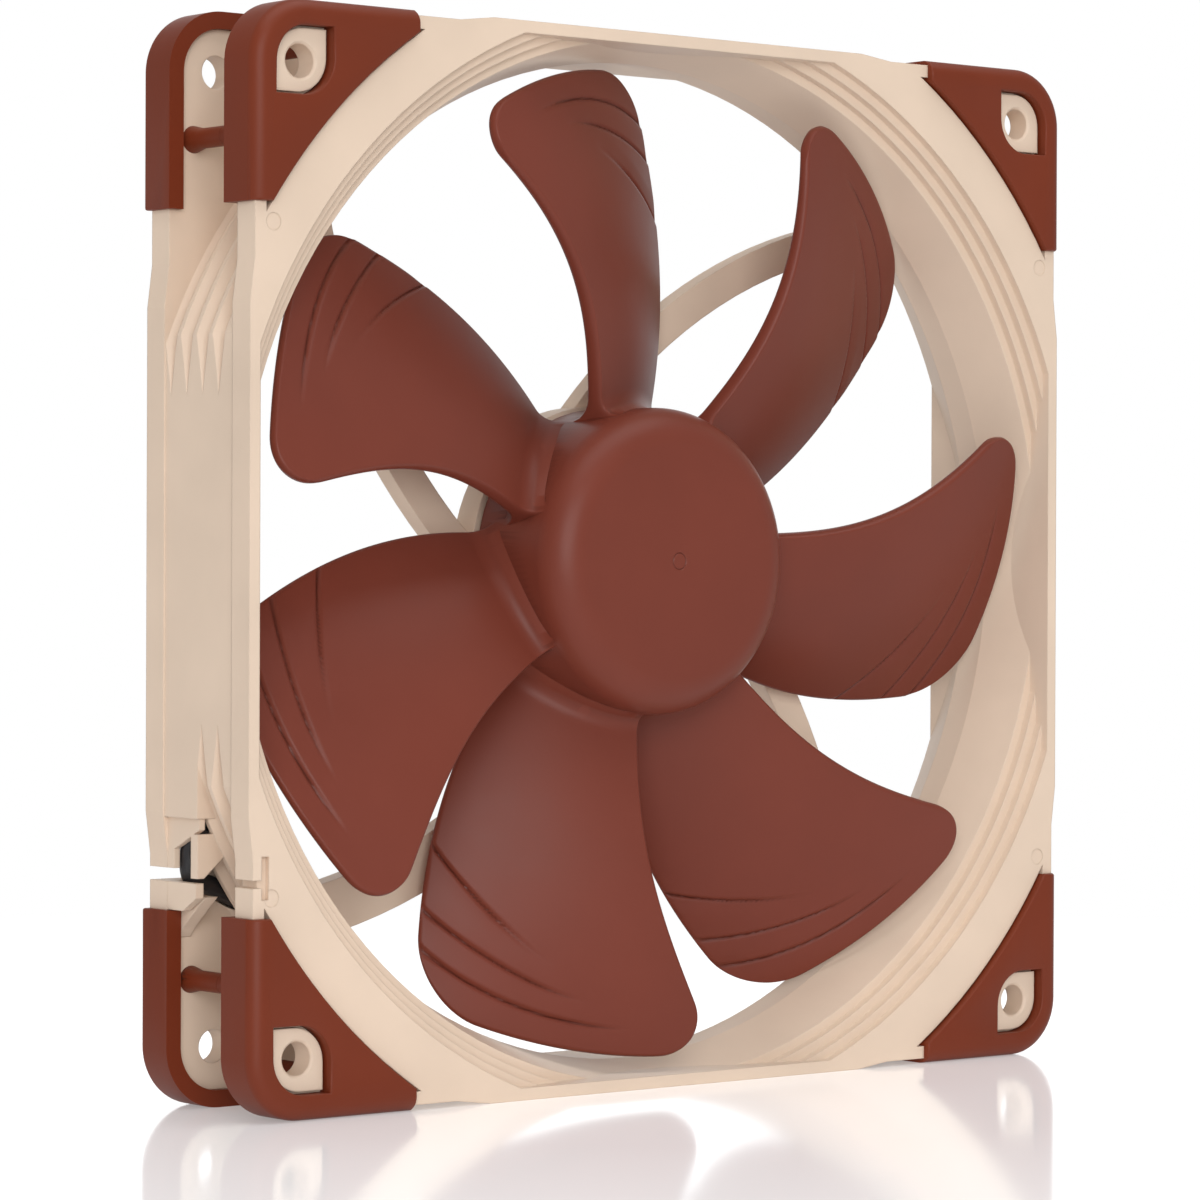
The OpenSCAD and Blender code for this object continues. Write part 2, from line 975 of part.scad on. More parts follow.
frame();
front_pad_top_right();
front_pad_top_left();
front_pad_bottom_left();
front_pad_bottom_right();
rear_pad_top_right();
rear_pad_top_left();
rear_pad_bottom_left();
rear_pad_bottom_right();
impeller();
rotor_yoke();
magnet_ring();
rotor_boss();
shaft();
retaining_clip();
bearing_housing();
bearing_bush();
oil_seal();
stabilising_magnet();
thrust_plate();
stator_core();
upper_insulator();
lower_insulator();
stator_coils();
circuit_board();
driver_chip();
hall_sensor();
capacitors();
terminal_pins();
ground_lead();
power_lead();
speed_lead();
control_lead();
cable_sleeve();
back_label();
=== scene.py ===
"""Looks for the case fan: impeller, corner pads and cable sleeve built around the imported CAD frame."""
import json
import math

import bmesh
import bpy
import numpy as np
from mathutils import Matrix, Vector


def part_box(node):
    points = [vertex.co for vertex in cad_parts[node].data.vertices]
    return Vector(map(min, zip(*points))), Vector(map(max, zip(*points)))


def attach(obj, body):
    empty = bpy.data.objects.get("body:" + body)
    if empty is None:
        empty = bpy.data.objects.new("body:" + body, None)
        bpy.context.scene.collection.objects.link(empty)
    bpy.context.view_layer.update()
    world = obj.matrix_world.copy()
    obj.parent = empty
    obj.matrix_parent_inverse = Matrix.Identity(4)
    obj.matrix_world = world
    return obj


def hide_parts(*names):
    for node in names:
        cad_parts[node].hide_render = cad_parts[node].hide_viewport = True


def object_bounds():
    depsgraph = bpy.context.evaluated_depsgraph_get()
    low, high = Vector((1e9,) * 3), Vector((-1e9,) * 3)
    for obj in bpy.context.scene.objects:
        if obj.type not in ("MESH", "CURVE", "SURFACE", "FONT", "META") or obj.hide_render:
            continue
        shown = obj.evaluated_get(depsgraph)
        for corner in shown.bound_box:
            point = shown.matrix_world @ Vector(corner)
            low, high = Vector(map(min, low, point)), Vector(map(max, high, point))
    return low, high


MM = 0.001
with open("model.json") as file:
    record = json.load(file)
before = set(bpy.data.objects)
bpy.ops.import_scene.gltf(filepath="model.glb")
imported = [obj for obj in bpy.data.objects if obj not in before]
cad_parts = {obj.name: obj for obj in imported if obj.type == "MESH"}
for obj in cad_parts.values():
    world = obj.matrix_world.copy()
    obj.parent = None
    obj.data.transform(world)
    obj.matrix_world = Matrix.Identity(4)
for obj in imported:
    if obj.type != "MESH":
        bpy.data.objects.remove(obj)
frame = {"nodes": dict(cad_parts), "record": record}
cad_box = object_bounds()

# ---------------------------------------------------------------- sizes
LOW, HIGH = cad_box
HALF = (HIGH[0] - LOW[0]) / 2
PAD_FACE = HIGH[1]
yoke_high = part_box("rotor_yoke")[1]
impeller_low, impeller_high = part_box("impeller")
HUB_WALL = 1.4 * MM
HUB_CORE = yoke_high[0] + 0.05 * MM
HUB_R = HUB_CORE + HUB_WALL
HUB_TOP = -impeller_low[1]
HUB_END = -6.8 * MM
HUB_FILLET = 5 * MM
TIP_R = impeller_high[2] + 0.05 * MM

BLADES = 7
TAU = 2 * math.pi


# ---------------------------------------------------------------- mesh helpers
def add_object(name, mesh):
    """A new object in the scene, at the origin."""
    obj = bpy.data.objects.new(name, mesh)
    bpy.context.scene.collection.objects.link(obj)
    return obj


def mesh_from(name, points, faces):
    """An object from lists of points and faces, with its normals pointing out."""
    mesh = bpy.data.meshes.new(name)
    mesh.from_pydata([tuple(p) for p in points], [], faces)
    work = bmesh.new()
    work.from_mesh(mesh)
    bmesh.ops.remove_doubles(work, verts=work.verts, dist=1e-7)
    bmesh.ops.recalc_face_normals(work, faces=work.faces)
    work.to_mesh(mesh)
    work.free()
    return add_object(name, mesh)


def apply_modifiers(obj):
    """Bakes an object's modifiers into its mesh."""
    bpy.context.view_layer.update()
    graph = bpy.context.evaluated_depsgraph_get()
    mesh = bpy.data.meshes.new_from_object(obj.evaluated_get(graph))
    obj.modifiers.clear()
    obj.data = mesh


def join(base, other):
    """Joins other to base in one closed surface; other is used up."""
    union = base.modifiers.new("union", "BOOLEAN")
    union.operation = "UNION"
    union.solver = "MANIFOLD"
    union.object = other
    apply_modifiers(base)
    bpy.data.objects.remove(other)


def smooth(obj, angle):
    """Smooth shading that keeps edges sharper than the angle."""
    mesh = obj.data
    mesh.polygons.foreach_set("use_smooth", [True] * len(mesh.polygons))
    mesh.set_sharp_from_angle(angle=math.radians(angle))
    return obj


def finish_piece(obj, body, material, slot, *nodes):
    """Gives a piece its body and material, and hides the CAD nodes that it stands for; the slot is not used.
    """
    obj.data.materials.clear()
    obj.data.materials.append(material)
    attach(obj, body)
    if nodes:
        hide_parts(*nodes)
    return obj


def stand(point):
    """From the fan's own frame (axis z, intake up) to the upright frame."""
    x, y, z = point
    return (x, -z, y)


# ---------------------------------------------------------------- materials
def new_material(name):
    """An empty node material: (material, nodes, link function, shader)."""
    material = bpy.data.materials.new(name)
    material.use_nodes = True
    tree = material.node_tree
    shader = tree.nodes["Principled BSDF"]
    return material, tree.nodes, tree.links.new, shader


def object_noise(nodes, link, scale, detail=3):
    """Noise in the object's own space; scale is per metre."""
    place = nodes.new("ShaderNodeTexCoord")
    noise = nodes.new("ShaderNodeTexNoise")
    noise.inputs["Scale"].default_value = scale
    noise.inputs["Detail"].default_value = detail
    link(place.outputs["Object"], noise.inputs["Vector"])
    return noise.outputs["Fac"]


def tone(nodes, link, factor, dark, light):
    """Colour between two tones by a factor."""
    ramp = nodes.new("ShaderNodeValToRGB")
    ramp.color_ramp.elements[0].position = 0.3
    ramp.color_ramp.elements[1].position = 0.7
    ramp.color_ramp.elements[0].color = (*dark, 1)
    ramp.color_ramp.elements[1].color = (*light, 1)
    link(factor, ramp.inputs["Fac"])
    return ramp.outputs["Color"]


def linear(red, green, blue):
    """Linear colour from 0-255 display values."""
    def one(value):
        value /= 255
        return value / 12.92 if value <= 0.04045 else ((value + 0.055) / 1.055) ** 2.4
    return (one(red), one(green), one(blue))


def shade(colour, factor):
    """The same colour, darker or lighter."""
    return tuple(min(1.0, channel * factor) for channel in colour)


# Pointiness of a nearly flat surface and of the bottom of a groove, the range over which painted shade
# darkens the hollows
NEARLY_FLAT, GROOVE_BOTTOM = 0.49, 0.44


def painted_hollow_shade(nodes, link, colour, amount):
    """The colour, darkened by an amount where the surface is hollow: painted shade standing in for the shade
    in grooves and hollows.
    """
    surface = nodes.new("ShaderNodeNewGeometry")
    shade_mask = nodes.new("ShaderNodeMapRange")
    shade_mask.inputs["From Min"].default_value = NEARLY_FLAT
    shade_mask.inputs["From Max"].default_value = GROOVE_BOTTOM
    shade_mask.inputs["To Max"].default_value = amount
    link(surface.outputs["Pointiness"], shade_mask.inputs["Value"])
    mix = nodes.new("ShaderNodeMix")
    mix.data_type = "RGBA"
    link(shade_mask.outputs["Result"], mix.inputs["Factor"])
    link(colour, mix.inputs["A"])
    mix.inputs["B"].default_value = (0, 0, 0, 1)
    return mix.outputs["Result"]


MOTTLE_SCALE, SHEEN_SCALE, MARK_SCALE = 60, 240, 900
GRAIN_DEPTH, MARK_DEPTH = 0.02 * MM, 0.01 * MM


def moulded(name, colour, rough, grain=2600, edge=0.25, shine=0.5, hollow_shade_amount=0.0):
    """Moulded plastic or rubber: faint flow mottle, fine grain, edges softened by `edge` mm, painted shade
    darkening the hollows.
    """
    material, nodes, link, shader = new_material(name)
    mottle = object_noise(nodes, link, MOTTLE_SCALE, 4)
    base = tone(nodes, link, mottle, shade(colour, 0.95), shade(colour, 1.04))
    # painted shade: the base colour goes darker in grooves and other hollows
    if hollow_shade_amount > 0:
        base = painted_hollow_shade(nodes, link, base, hollow_shade_amount)
    link(base, shader.inputs["Base Color"])
    sheen = object_noise(nodes, link, SHEEN_SCALE, 2)
    spread = nodes.new("ShaderNodeMapRange")
    spread.inputs["To Min"].default_value = rough - 0.04
    spread.inputs["To Max"].default_value = rough + 0.05
    link(sheen, spread.inputs["Value"])
    link(spread.outputs["Result"], shader.inputs["Roughness"])
    bump = nodes.new("ShaderNodeBump")
    bump.inputs["Strength"].default_value = 0.35
    bump.inputs["Distance"].default_value = GRAIN_DEPTH
    link(object_noise(nodes, link, grain, 4), bump.inputs["Height"])
    if edge > 0:
        round_edge = nodes.new("ShaderNodeBevel")
        round_edge.samples = 4
        round_edge.inputs["Radius"].default_value = edge * MM
        link(round_edge.outputs["Normal"], bump.inputs["Normal"])
    link(bump.outputs["Normal"], shader.inputs["Normal"])
    shader.inputs["Specular IOR Level"].default_value = shine
    return material


def metal(name, colour, rough):
    """Bare metal with faint tool marks."""
    material, nodes, link, shader = new_material(name)
    marks = object_noise(nodes, link, MARK_SCALE)
    link(tone(nodes, link, marks, shade(colour, 0.85), shade(colour, 1.08)), shader.inputs["Base Color"])
    shader.inputs["Metallic"].default_value = 1
    shader.inputs["Roughness"].default_value = rough
    bump = nodes.new("ShaderNodeBump")
    bump.inputs["Strength"].default_value = 0.2
    bump.inputs["Distance"].default_value = MARK_DEPTH
    link(marks, bump.inputs["Height"])
    link(bump.outputs["Normal"], shader.inputs["Normal"])
    return material


FRAME_TAN = linear(221, 199, 178)
IMPELLER_BROWN = linear(115, 55, 42)
PAD_BROWN = linear(112, 46, 24)

materials = {
    "frame_plastic": moulded("frame_plastic", FRAME_TAN, rough=0.46, shine=0.35),
    # the impeller's grooves and hollows get painted shade
    "impeller_plastic": moulded("impeller_plastic", IMPELLER_BROWN, rough=0.38, edge=0.0, shine=0.2,
                                hollow_shade_amount=0.6),
    "pad_rubber": moulded("pad_rubber", PAD_BROWN, rough=0.45, grain=3200, edge=0.0, shine=0.22),
    "yoke_steel": metal("yoke_steel", (0.62, 0.63, 0.65), 0.35),
    "magnet": moulded("magnet", (0.02, 0.02, 0.022), rough=0.6),
    "brass": metal("brass", (0.76, 0.55, 0.25), 0.28),
    "shaft_steel": metal("shaft_steel", (0.75, 0.76, 0.78), 0.15),
    "bush_bronze": metal("bush_bronze", (0.5, 0.3, 0.15), 0.5),
    "seal_rubber": moulded("seal_rubber", (0.015, 0.015, 0.016), rough=0.55),
    "white_plastic": moulded("white_plastic", (0.75, 0.73, 0.66), rough=0.4),
    "core_steel": metal("core_steel", (0.4, 0.41, 0.44), 0.45),
    "copper_wire": metal("copper_wire", (0.72, 0.28, 0.1), 0.3),
    "board_laminate": moulded("board_laminate", (0.01, 0.09, 0.03), rough=0.3, grain=1500),
    "chip_black": moulded("chip_black", (0.01, 0.01, 0.012), rough=0.5),
    "ceramic": moulded("ceramic", (0.4, 0.27, 0.14), rough=0.35),
    "tinned_metal": metal("tinned_metal", (0.8, 0.78, 0.72), 0.25),
    "lead_black": moulded("lead_black", (0.01, 0.01, 0.011), rough=0.35, edge=0),
    "lead_yellow": moulded("lead_yellow", (0.7, 0.42, 0.01), rough=0.35, edge=0),
    "lead_green": moulded("lead_green", (0.02, 0.2, 0.05), rough=0.35, edge=0),
    "lead_blue": moulded("lead_blue", (0.02, 0.07, 0.35), rough=0.35, edge=0),
    "sleeve": moulded("sleeve", (0.012, 0.011, 0.013), rough=0.5, edge=0),
    "label_film": moulded("label_film", linear(96, 58, 46), rough=0.3, grain=900, edge=0),
}

for part in frame["record"]["subparts"]:
    node = frame["nodes"][part["node"]]
    node.data.materials.clear()
    node.data.materials.append(materials[part["material_slot"]])


# ---------------------------------------------------------------- impeller
def curve(values, u):
    """Cubic curve through the first and last of four control values."""
    a, b, c, d = values
    return a * (1 - u) ** 3 + 3 * b * u * (1 - u) ** 2 + 3 * c * u ** 2 * (1 - u) + d * u ** 3


# Blade edges, as in the CAD: angle in degrees and height in mm, from hub to tip
LEAD_ANGLE = (10.9, 2.6, 14.1, 18.8)
LEAD_HEIGHT = (2.4, 7.1, 11, 10)
TRAIL_ANGLE = (-35.9, -30.9, -22.3, -16.1)
TRAIL_HEIGHT = (-6, -6.6, -6.3, -4.5)
CAMBER = (1.1, 1.2, 1.3, 1.4)
# Blade thickness at hub and tip, how much it thins towards the trailing edge, and its roundings, in mm
ROOT_T, TIP_T = 2.4, 1.4
THINNING = 0.55
TIP_ROUND, TIP_EDGE_ROUND, ROOT_FILLET = 8, 0.45, 2.8
# Shares of the chord that the rounded leading and trailing edges take up
NOSE, TAIL = 0.018, 0.02
# Radii where a blade starts, inside the hub's wall, and ends, and its lowest height, in mm
ROOT_R = HUB_R / MM - 0.9
TIP_MM = TIP_R / MM
LOWEST = HUB_END / MM + 0.05
CHORD_STEPS = 90
# Rows along the span as (end of the stretch as a fraction, number of rows)
SPAN_ROWS = ((0.14, 14), (0.48, 16), (0.96, 108), (1.0, 10))

# Flow steps on the intake side: (radius at the trailing edge, radius and chord where it fades, bend)
FLOW_STEPS = ((47.0, 55.8, 0.52, 1.0), (55.0, 59.6, 0.40, 1.3), (59.6, 62.5, 0.27, 3.0))
FLOW_FADE = 0.2
# Each step's depth, the run over which it rises back and its wall, then the groove at its foot, in mm
STEP_DEPTH, STEP_RUN, STEP_WALL = 0.26, 3.4, 0.3
GROOVE_DEPTH, GROOVE_WIDTH = 0.32, 0.28


def flow_relief(r, s):
    """Depth in mm that the flow steps take off the intake side at radius r and chord fraction s."""
    relief = np.zeros_like(r)
    for start, end, fade, bend in FLOW_STEPS:
        along = np.clip((s - fade) / (1 - fade), 0, 1)
        line = end + (start - end) * along ** bend
        past = r - line
        wall = np.clip(past / STEP_WALL, 0, 1)
        recover = np.clip(1 - past / STEP_RUN, 0, 1) ** 1.5
        groove = np.exp(-((past - STEP_WALL / 2) / GROOVE_WIDTH) ** 2)
        strength = np.clip((s - fade) / FLOW_FADE, 0, 1)
        relief += strength * (STEP_DEPTH * wall * recover + GROOVE_DEPTH * groove)
    return relief


def tip_radius(s):
    """Radius in mm where the blade ends at chord fraction s, less at its rounded corners."""
    tip_chord = TIP_MM * math.radians(LEAD_ANGLE[3] - TRAIL_ANGLE[3])
    reach = np.clip(TIP_ROUND - np.minimum(s, 1 - s) * tip_chord, 0, TIP_ROUND)
    return TIP_MM - TIP_ROUND + np.sqrt(TIP_ROUND ** 2 - reach ** 2)


def middle(span, s):
    """Angle in degrees and height in mm halfway through the blade."""
    lead, trail = curve(LEAD_ANGLE, span), curve(TRAIL_ANGLE, span)
    top, bottom = curve(LEAD_HEIGHT, span), curve(TRAIL_HEIGHT, span)
    bulge = curve(CAMBER, span) * 4 * s * (1 - s)
    return lead + s * (trail - lead), top + s * (bottom - top) + bulge


def rise_of_arc(share):
    """Height of a quarter circle of radius 1 at a share of its width, kept between 0 and 1."""
    return np.sqrt(1 - (1 - np.clip(share, 0, 1)) ** 2)


def half_thickness(span, s, r, side):
    """Distance in mm from the middle of the blade to its skin on one side."""
    nose = rise_of_arc(s / NOSE)
    tail = rise_of_arc((1 - s) / TAIL)
    half = (ROOT_T + span * (TIP_T - ROOT_T)) / 2 * nose * (1 - THINNING * s ** 3) * tail
    half = half * rise_of_arc((tip_radius(s) - r) / TIP_EDGE_ROUND)
    fillet = 1 - rise_of_arc((r - HUB_R / MM) / ROOT_FILLET)
    half = half + ROOT_FILLET * fillet * np.sqrt(nose * tail)
    if side > 0:
        half = half - np.minimum(flow_relief(r, s), half * 1.1) * tail
    return half


def blade_skin(u, s, side):
    """Points of one side of a blade: side is 1 for the intake side and -1 for the outlet side."""
    r = ROOT_R + u * (tip_radius(s) - ROOT_R)
    span = np.clip((r - ROOT_R) / (TIP_MM - ROOT_R), 0, 1)
    angle, height = middle(span, s)
    ahead_angle, ahead_height = middle(span, s + 0.01)
    run = r * np.radians(ahead_angle - angle)
    rise = ahead_height - height
    length = np.hypot(run, rise)
    offset = -side * half_thickness(span, s, r, side)
    angle = np.radians(angle) - rise / length * offset / r
    height = np.maximum(height + run / length * offset, LOWEST)
    return np.stack([r * np.cos(angle), r * np.sin(angle), height], axis=-1)


def blade_mesh():
    """Points and faces of one blade, in mm in the fan's own frame."""
    u, start = [0.0], 0.0
    for end, rows in SPAN_ROWS:
        u += [start + (end - start) * (i + 1) / rows for i in range(rows)]
        start = end
    s = (1 - np.cos(np.pi * np.linspace(0, 1, CHORD_STEPS + 1))) / 2
    grid_u, grid_s = np.meshgrid(np.array(u), s, indexing="ij")
    front = blade_skin(grid_u, grid_s, 1)
    back = blade_skin(grid_u, grid_s, -1)[:, ::-1]
    rings = np.concatenate([front, back], axis=1)
    rows, loop = rings.shape[0], rings.shape[1]
    faces = []
    for i in range(rows - 1):
        for j in range(loop):
            k = (j + 1) % loop
            faces.append((i * loop + j, i * loop + k, (i + 1) * loop + k, (i + 1) * loop + j))
    for i in (0, rows - 1):
        for j in range(CHORD_STEPS):
            a, b = i * loop + j, i * loop + loop - 1 - j
            faces.append((a, a + 1, b - 1, b))
    return rings.reshape(-1, 3), faces


def lathe(profile, steps):
    """Points and faces of a closed profile of (radius, height) turned about z; radius 0 closes to a pole."""
    points, faces, rings = [], [], []
    for radius, height in profile:
        if radius == 0:
            rings.append([len(points)] * steps)
            points.append((0, 0, height))
        else:
            rings.append(list(range(len(points), len(points) + steps)))
            points += [(radius * math.cos(TAU * i / steps), radius * math.sin(TAU * i / steps), height)
                       for i in range(steps)]
    for a, b in zip(rings, rings[1:] + rings[:1]):
        for i in range(steps):
            k = (i + 1) % steps
            corners = []
            for corner in (a[i], a[k], b[k], b[i]):
                if corner not in corners:
                    corners.append(corner)
            if len(corners) > 2:
                faces.append(corners)
    return points, faces


def arc(centre, radius, start, end, steps):
    """Points along an arc, angles in degrees, in (radius, height)."""
    return [(centre[0] + radius * math.cos(math.radians(start + (end - start) * i / steps)),
             centre[1] + radius * math.sin(math.radians(start + (end - start) * i / steps)))
            for i in range(steps + 1)]


def hub_profile():
    """Cup section of the hub, in mm, from its front centre round to the inside."""
    r, top, end = HUB_R / MM, HUB_TOP / MM, HUB_END / MM
    fillet, wall = HUB_FILLET / MM, HUB_WALL / MM
    core, rim = r - wall, 0.35
    mark_r, mark_w, mark_deep = 1.1, 0.14, 0.12
    return ([(0, top), (mark_r - mark_w, top), (mark_r, top - mark_deep), (mark_r + mark_w, top)]
            + arc((r - fillet, top - fillet), fillet, 90, 0, 16)
            + arc((r - rim, end + rim), rim, 0, -90, 4)
            + arc((core + rim, end + rim), rim, -90, -180, 4)
            + arc((r - fillet, top - fillet), fillet - wall, 0, 90, 12)
            + [(0, top - wall)])


def build_impeller():
    """Hub and blades as one closed piece."""
    points, faces = lathe(hub_profile(), 144)
    hub = mesh_from("impeller_shell", [stand(p) for p in np.array(points) * MM], faces)
    points, faces = blade_mesh()
    for i in range(BLADES):
        turn = np.array(Matrix.Rotation(TAU * i / BLADES, 3, "Z"))
        blade = mesh_from("blade", [stand(p) for p in points @ turn.T * MM], faces)
        join(hub, blade)
    smooth(hub, 40)
    return finish_piece(hub, "rotor", materials["impeller_plastic"], "impeller_plastic", "impeller")


build_impeller()


# ---------------------------------------------------------------- pads and sleeve
def clean_copy(node):
    """A bmesh of a CAD node with its flat faces whole again."""
    work = bmesh.new()
    work.from_mesh(frame["nodes"][node].data)
    bmesh.ops.remove_doubles(work, verts=work.verts, dist=2e-6)
    bmesh.ops.dissolve_limit(work, angle_limit=math.radians(1), verts=work.verts, edges=work.edges)
    return work


def is_edge(edge, angle=30):
    """True for an edge that sticks out and is sharper than the angle."""
    return len(edge.link_faces) == 2 and edge.calc_face_angle(0) > math.radians(angle) and edge.is_convex


# Rounding round the outside of the pads on the intake side and on the outlet side, and of their other edges
FRONT_ROUND, REAR_ROUND, EDGE_ROUND = 1.9 * MM, 0.6 * MM, 0.28 * MM
# Distance from the centre plane to the end of a pad's lip, in the CAD and as seen at the back
CAD_LIP, REAR_LIP = 5.6 * MM, 6.6 * MM
PAD_CORNER_R = 8 * MM
NEAR = 0.05 * MM


def is_outside(edge):
    """True for a pad's edge that runs round the outside of its face."""
    middle_point = (edge.verts[0].co + edge.verts[1].co) / 2
    x, depth, z = (abs(value) for value in middle_point)
    past_corner = Vector((x, z)) - Vector((HALF, HALF)) + Vector((PAD_CORNER_R, PAD_CORNER_R))
    on_round = past_corner.x > 0 and past_corner.y > 0 and past_corner.length > PAD_CORNER_R - 4 * NEAR
    return abs(depth - PAD_FACE) < NEAR and (max(x, z) > HALF - NEAR or on_round)


def build_pad(node):
    """Soft corner pad: broad rounding round the outside, small rounding elsewhere, pegs left as they are."""
    work = clean_copy(node)
    front = node.startswith("front")
    rounding = FRONT_ROUND if front else REAR_ROUND
    if not front:
        for vert in work.verts:
            if abs(vert.co.y - CAD_LIP) < NEAR:
                vert.co.y = REAR_LIP
    broad = [edge for edge in work.edges if is_edge(edge) and is_outside(edge)]
    bmesh.ops.bevel(work, geom=broad, offset=rounding, segments=8, profile=0.5, affect="EDGES",
                    clamp_overlap=False, harden_normals=False)
    small = [edge for edge in work.edges
             if is_edge(edge, 50) and min(abs(vert.co.y) for vert in edge.verts) > PAD_FACE - 1.5 * MM]
    bmesh.ops.bevel(work, geom=small, offset=EDGE_ROUND, segments=3, profile=0.5, affect="EDGES",
                    clamp_overlap=False, harden_normals=False)
    mesh = bpy.data.meshes.new(node + "_soft")
    work.to_mesh(mesh)
    work.free()
    pad = smooth(add_object(node + "_soft", mesh), 40)
    return finish_piece(pad, "housing", materials["pad_rubber"], "pad_rubber", node)


for part in frame["record"]["subparts"]:
    if "_pad_" in part["node"]:
        build_pad(part["node"])


# Sleeve's path as in the CAD, in mm in the fan's own frame
SLEEVE_PATH = ((-52, -46.6, -9.6), (-63, -41.6, -6.6), (-66, -41, -6.1),
               (-66.9, -39.8, -6.1), (-66.9, -36.2, -6.1), (-66.9, -33.4, -3.2))
SLEEVE_R = 1.3
SLEEVE_SIDES, SLEEVE_STEP = 48, 0.12
# Braid: depth in mm, strands each way, and length in mm of one turn of a strand
BRAID_DEEP, BRAID_STRANDS, BRAID_PITCH = 0.07, 12, 5.0


def rounded_path(points, rounds=3):
    """Path with its corners cut again and again until it's smooth; the ends stay put."""
    points = [np.array(p, float) for p in points]
    for _ in range(rounds):
        cut = [points[0]]
        for a, b in zip(points, points[1:]):
            cut += [a * 0.75 + b * 0.25, a * 0.25 + b * 0.75]
        points = cut + [points[-1]]
    return np.array(points)


def build_sleeve():
    """Braided sleeve: a tube along the path, its radius raised where strands cross."""
    path = rounded_path(SLEEVE_PATH)
    run = np.concatenate([[0], np.cumsum(np.linalg.norm(np.diff(path, axis=0), axis=1))])
    along = np.linspace(0, run[-1], int(run[-1] / SLEEVE_STEP))
    centre = np.stack([np.interp(along, run, path[:, i]) for i in range(3)], axis=-1)
    ahead = np.gradient(centre, axis=0)
    ahead /= np.linalg.norm(ahead, axis=1)[:, None]
    side = np.cross(ahead, (0.0, 0.0, 1.0))
    side /= np.linalg.norm(side, axis=1)[:, None]
    up = np.cross(side, ahead)
    turn = np.linspace(0, TAU, SLEEVE_SIDES, endpoint=False)
    twist = TAU * along[:, None] / BRAID_PITCH
    weave = np.abs(np.sin((BRAID_STRANDS * turn + twist) / 2) * np.sin((BRAID_STRANDS * turn - twist) / 2))
    radius = SLEEVE_R - BRAID_DEEP * (1 - weave)
    rings = (centre[:, None] + radius[..., None] * (np.cos(turn)[None, :, None] * side[:, None]
                                                    + np.sin(turn)[None, :, None] * up[:, None]))
    rows, sides = rings.shape[:2]
    faces = []
    for i in range(rows - 1):
        for j in range(sides):
            k = (j + 1) % sides
            faces.append((i * sides + j, i * sides + k, (i + 1) * sides + k, (i + 1) * sides + j))
    faces += [tuple(range(sides)), tuple(range((rows - 1) * sides, rows * sides))]
    sleeve = mesh_from("braided_sleeve", [stand(p) for p in rings.reshape(-1, 3) * MM], faces)
    smooth(sleeve, 60)
    return finish_piece(sleeve, "housing", materials["sleeve"], "sleeve", "cable_sleeve")


build_sleeve()


# ---------------------------------------------------------------- camera, floor and light
def aim(obj, target):
    """Turns an object's -Z axis to a point."""
    obj.rotation_euler = (Vector(target) - obj.location).to_track_quat("-Z", "Y").to_euler()


CAMERA_AT = (-0.3874, -0.4699, 0.0004)
CAMERA_TURN = (89.79, -0.21, -39.13)
CAMERA_SHIFT = (0.0015, -0.0213)


def add_camera():
    """Long lens at the intake side's left, level with the fan's centre."""
    data = bpy.data.cameras.new("camera")
    data.lens = 135
    data.sensor_width = 36
    data.shift_x, data.shift_y = CAMERA_SHIFT
    data.clip_start = 0.05
    camera = bpy.data.objects.new("camera", data)
    bpy.context.scene.collection.objects.link(camera)
    camera.location = CAMERA_AT
    camera.rotation_euler = [math.radians(turn) for turn in CAMERA_TURN]
    bpy.context.scene.camera = camera


def add_area(name, location, size, power):
    """Soft area light that faces the fan."""
    data = bpy.data.lights.new(name, "AREA")
    data.shape = "RECTANGLE"
    data.size, data.size_y = size
    data.energy = power
    light = bpy.data.objects.new(name, data)
    bpy.context.scene.collection.objects.link(light)
    light.location = location
    aim(light, (0, 0, 0))


# Distances from the fan's centre, in metres, where the floor starts and ends its fade to white
FLOOR_NEAR, FLOOR_FAR = 0.1, 0.3
FLOOR_SIZE = 12.0
# Strengths as a light; all three are 1 to the camera
FLOOR_LIGHT, WORLD_LIGHT, BACKDROP_LIGHT = 0.72, 0.42, 1.25
# The backdrop's edge and its full strength, as cosines of the angle from straight behind the fan
BACKDROP_EDGE, BACKDROP_FULL = 0.75, 0.92


def camera_or(nodes, link, light):
    """Strength that is 1 to the camera and another value, or node output, to everything else."""
    path = nodes.new("ShaderNodeLightPath")
    strength = nodes.new("ShaderNodeMapRange")
    link(path.outputs["Is Camera Ray"], strength.inputs["Value"])
    if isinstance(light, float):
        strength.inputs["To Min"].default_value = light
    else:
        link(light, strength.inputs["To Min"])
    return strength.outputs["Result"]


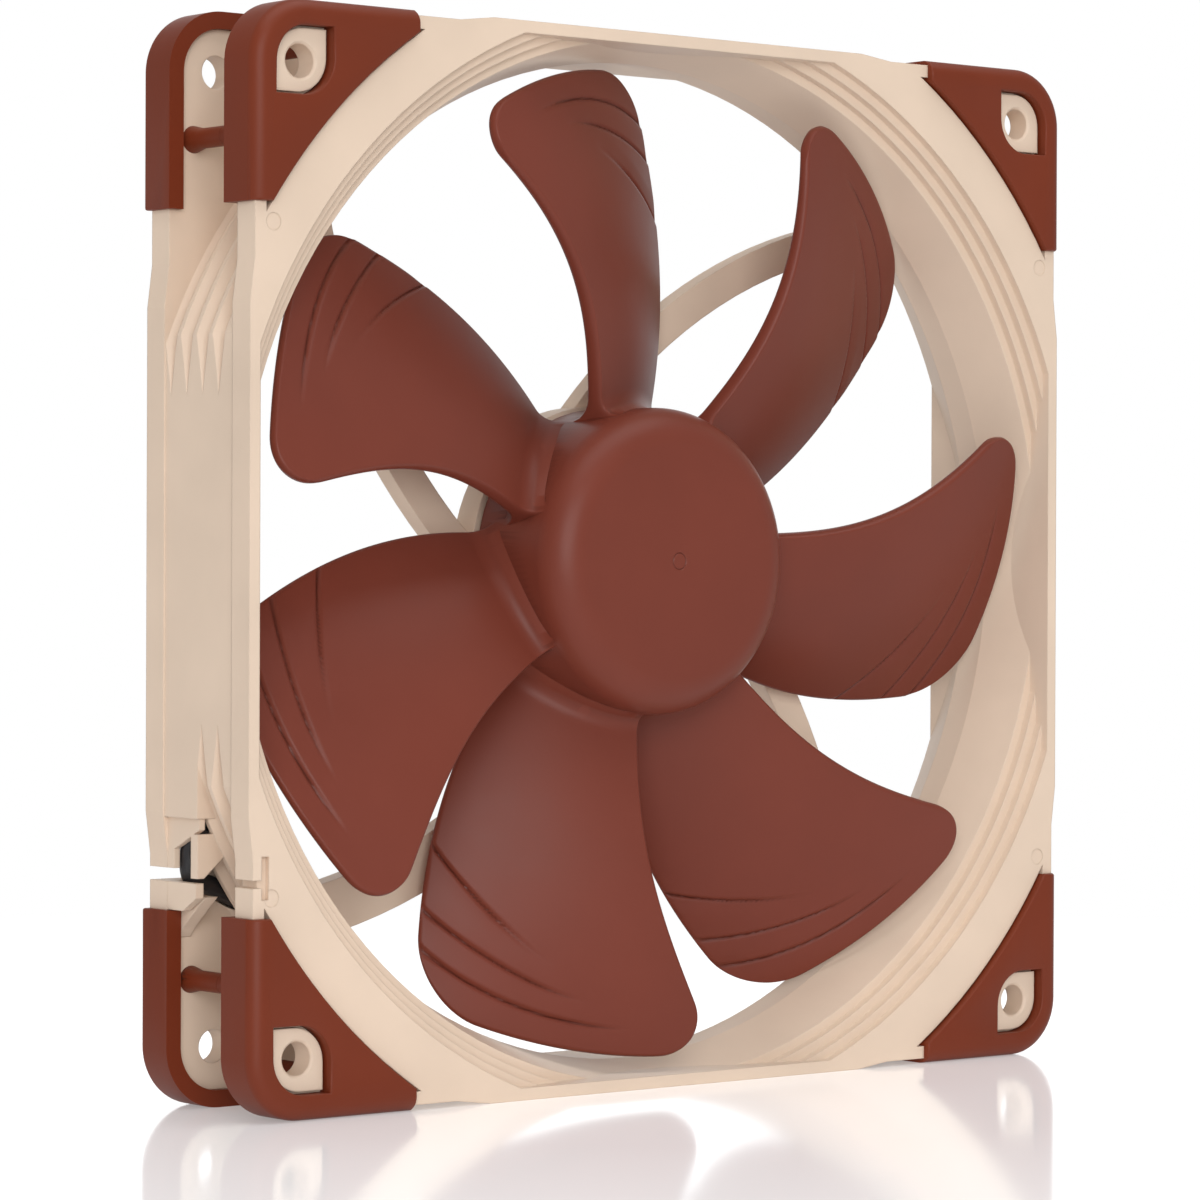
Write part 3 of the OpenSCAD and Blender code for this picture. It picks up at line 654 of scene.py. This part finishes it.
def add_floor():
    """Glossy white table."""
    corners = [(x * FLOOR_SIZE, y * FLOOR_SIZE, LOW[2]) for x, y in ((-1, -1), (1, -1), (1, 1), (-1, 1))]
    floor = mesh_from("floor", corners, [(0, 1, 2, 3)])
    material, nodes, link, shader = new_material("floor")
    shader.inputs["Base Color"].default_value = (0.79, 0.775, 0.785, 1)
    shader.inputs["Roughness"].default_value = 0.1
    shader.inputs["Emission Color"].default_value = (1, 1, 1, 1)
    shader.inputs["Emission Strength"].default_value = 0.27
    shader.inputs["Specular IOR Level"].default_value = 0.8
    # fades to plain white away from the fan, so that no horizon shows
    place = nodes.new("ShaderNodeTexCoord")
    reach = nodes.new("ShaderNodeVectorMath")
    reach.operation = "LENGTH"
    link(place.outputs["Object"], reach.inputs[0])
    fade = nodes.new("ShaderNodeMapRange")
    fade.inputs["From Min"].default_value = FLOOR_NEAR
    fade.inputs["From Max"].default_value = FLOOR_FAR
    link(reach.outputs["Value"], fade.inputs["Value"])
    white = nodes.new("ShaderNodeEmission")
    link(camera_or(nodes, link, FLOOR_LIGHT), white.inputs["Strength"])
    mix = nodes.new("ShaderNodeMixShader")
    link(fade.outputs["Result"], mix.inputs["Fac"])
    link(shader.outputs["BSDF"], mix.inputs[1])
    link(white.outputs["Emission"], mix.inputs[2])
    link(mix.outputs["Shader"], nodes["Material Output"].inputs["Surface"])
    floor.data.materials.append(material)


def add_world():
    """White to the camera; as a light it's softer, with a bright backdrop behind the fan."""
    world = bpy.data.worlds.new("world")
    bpy.context.scene.world = world
    world.use_nodes = True
    nodes, link = world.node_tree.nodes, world.node_tree.links.new
    background = nodes["Background"]
    place = nodes.new("ShaderNodeTexCoord")
    behind = nodes.new("ShaderNodeVectorMath")
    behind.operation = "DOT_PRODUCT"
    link(place.outputs["Generated"], behind.inputs[0])
    behind.inputs[1].default_value = -Vector(CAMERA_AT).normalized()
    backdrop = nodes.new("ShaderNodeMapRange")
    backdrop.inputs["From Min"].default_value = BACKDROP_EDGE
    backdrop.inputs["From Max"].default_value = BACKDROP_FULL
    backdrop.inputs["To Min"].default_value = WORLD_LIGHT
    backdrop.inputs["To Max"].default_value = BACKDROP_LIGHT
    link(behind.outputs["Value"], backdrop.inputs["Value"])
    link(camera_or(nodes, link, backdrop.outputs["Result"]), background.inputs["Strength"])
    background.inputs["Color"].default_value = (1, 1, 1, 1)


add_camera()
add_floor()
add_world()
add_area("top_light", (0.0, -0.15, 0.7), (0.9, 0.6), 3.2)
add_area("front_light", (-0.9, -1.3, 0.3), (1.0, 1.0), 15.5)
bpy.context.scene.view_settings.view_transform = "Standard"
